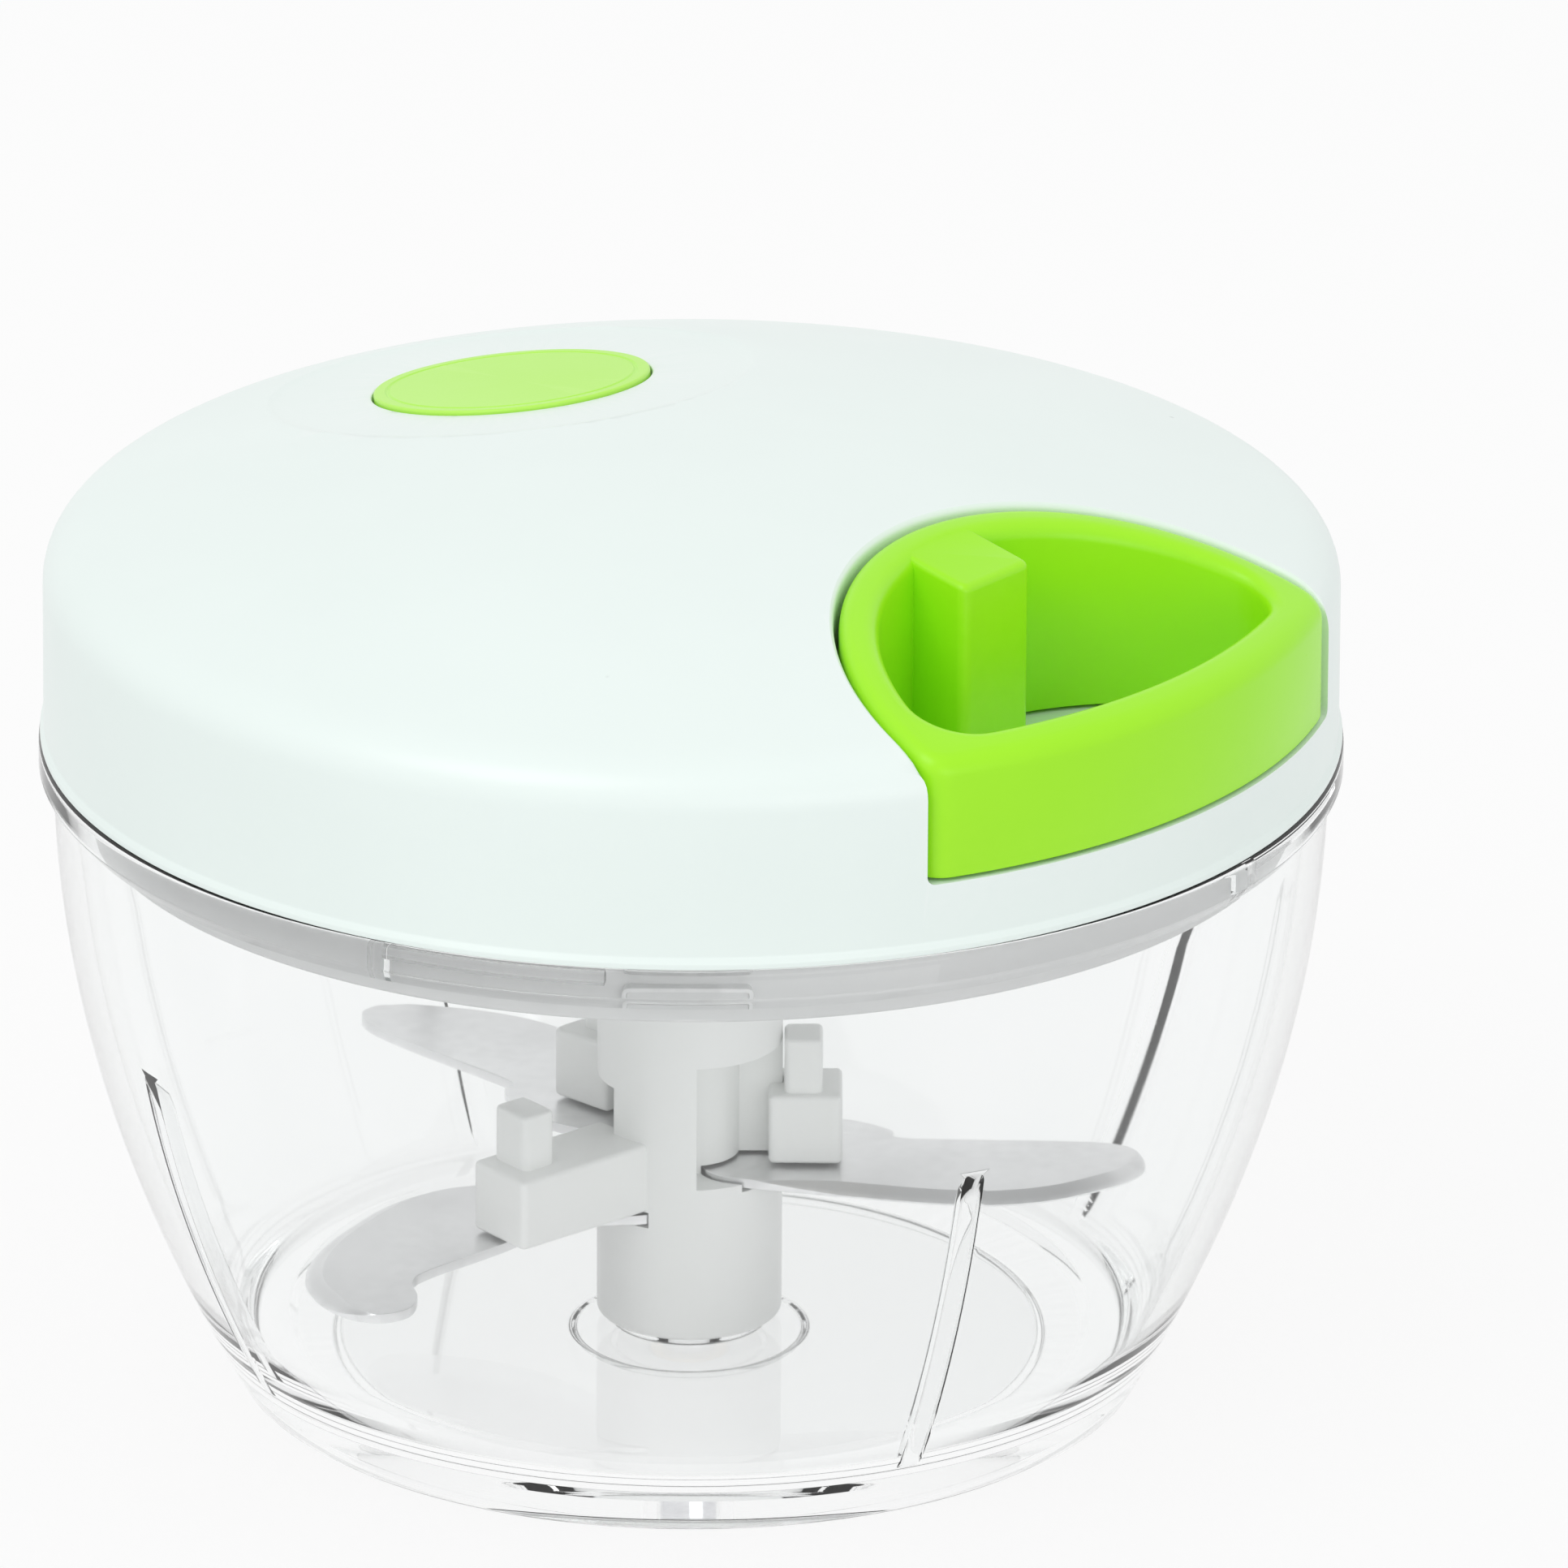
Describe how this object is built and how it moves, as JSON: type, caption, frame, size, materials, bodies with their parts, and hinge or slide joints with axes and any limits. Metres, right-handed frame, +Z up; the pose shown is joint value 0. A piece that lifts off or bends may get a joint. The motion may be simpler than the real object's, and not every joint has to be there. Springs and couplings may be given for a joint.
{
  "type": "food chopper",
  "caption": "Hand food chopper: clear bowl, bladed rotor on a pivot, and a white lid with a cord reel turned by a green pull handle.",
  "frame": {"origin": "on the bowl's axis, on the surface that its foot ring stands on", "axes": "+Z up along the bowl's axis; the pull handle lies 40.5 degrees clockwise from +X, seen from above"},
  "size_m": [0.125, 0.125, 0.095],
  "materials": {
    "clear_plastic": "clear, polished",
    "white_plastic": "satin gloss",
    "grey_plastic": "satin",
    "green_plastic": "gloss",
    "pale_green_plastic": "satin gloss",
    "blade_steel": "fine brushed",
    "polished_steel": "polished",
    "spring_steel": "blued",
    "brass": "plain",
    "silicone": "matte",
    "cord": "braided"
  },
  "bodies": {
    "bowl": {"bowl": "clear_plastic", "pivot_pin": "polished_steel"},
    "seal": {"seal_ring": "silicone"},
    "lid": {"lid_base": "grey_plastic", "top_cover": "white_plastic", "badge": "pale_green_plastic", "cover_screw_1": "polished_steel", "cover_screw_2": "polished_steel", "cover_screw_3": "polished_steel", "cover_screw_4": "polished_steel", "base_bush": "brass", "axle_pin": "polished_steel", "thrust_washer": "brass", "spring_arbor": "grey_plastic", "cord_eyelet": "polished_steel", "cord_feed": "cord"},
    "reel": {"cord_reel": "white_plastic", "spring_cap": "grey_plastic", "cord_winding": "cord", "recoil_spring": "spring_steel", "drive_coupler": "grey_plastic", "coupler_screw_1": "polished_steel", "coupler_screw_2": "polished_steel", "coupler_screw_3": "polished_steel"},
    "handle": {"pull_handle": "green_plastic", "handle_plug": "green_plastic", "cord_knot": "cord", "cord_lead": "cord"},
    "rotor": {"blade_hub": "white_plastic", "drive_socket": "grey_plastic", "hub_bush": "brass", "lower_blade": "blade_steel", "middle_blade": "blade_steel", "upper_blade": "blade_steel"}
  },
  "joints": [
    {"name": "lid_lift", "type": "slide", "parent": "bowl", "child": "seal", "axis": [0, 0, 1], "range_m": [0, 0.09]},
    {"name": "lid_twist", "type": "hinge", "parent": "seal", "child": "lid", "pos_m": [0, 0, 0.062], "axis": [0, 0, -1], "range_deg": [0, 22]},
    {"name": "handle_pull", "type": "slide", "parent": "lid", "child": "handle", "axis": [0.7604, -0.6494, 0], "range_m": [0, 0.3], "stiffness_N_per_m": 8, "springref_m": -0.25, "deforming": ["cord_winding", "cord_feed", "cord_lead"]},
    {"name": "reel_spin", "type": "hinge", "parent": "lid", "child": "reel", "pos_m": [0, 0, 0.075], "axis": [0, 0, -1], "range_deg": [0, 1062], "deforming": ["recoil_spring"]},
    {"name": "rotor_spin", "type": "hinge", "parent": "bowl", "child": "rotor", "pos_m": [0, 0, 0.03], "axis": [0, 0, -1], "range_deg": [0, 1062]}
  ],
  "couplings": [
    {"joint": "reel_spin", "follows": "handle_pull", "rad_per_m": 61.728},
    {"joint": "rotor_spin", "follows": "handle_pull", "rad_per_m": 61.728}
  ]
}
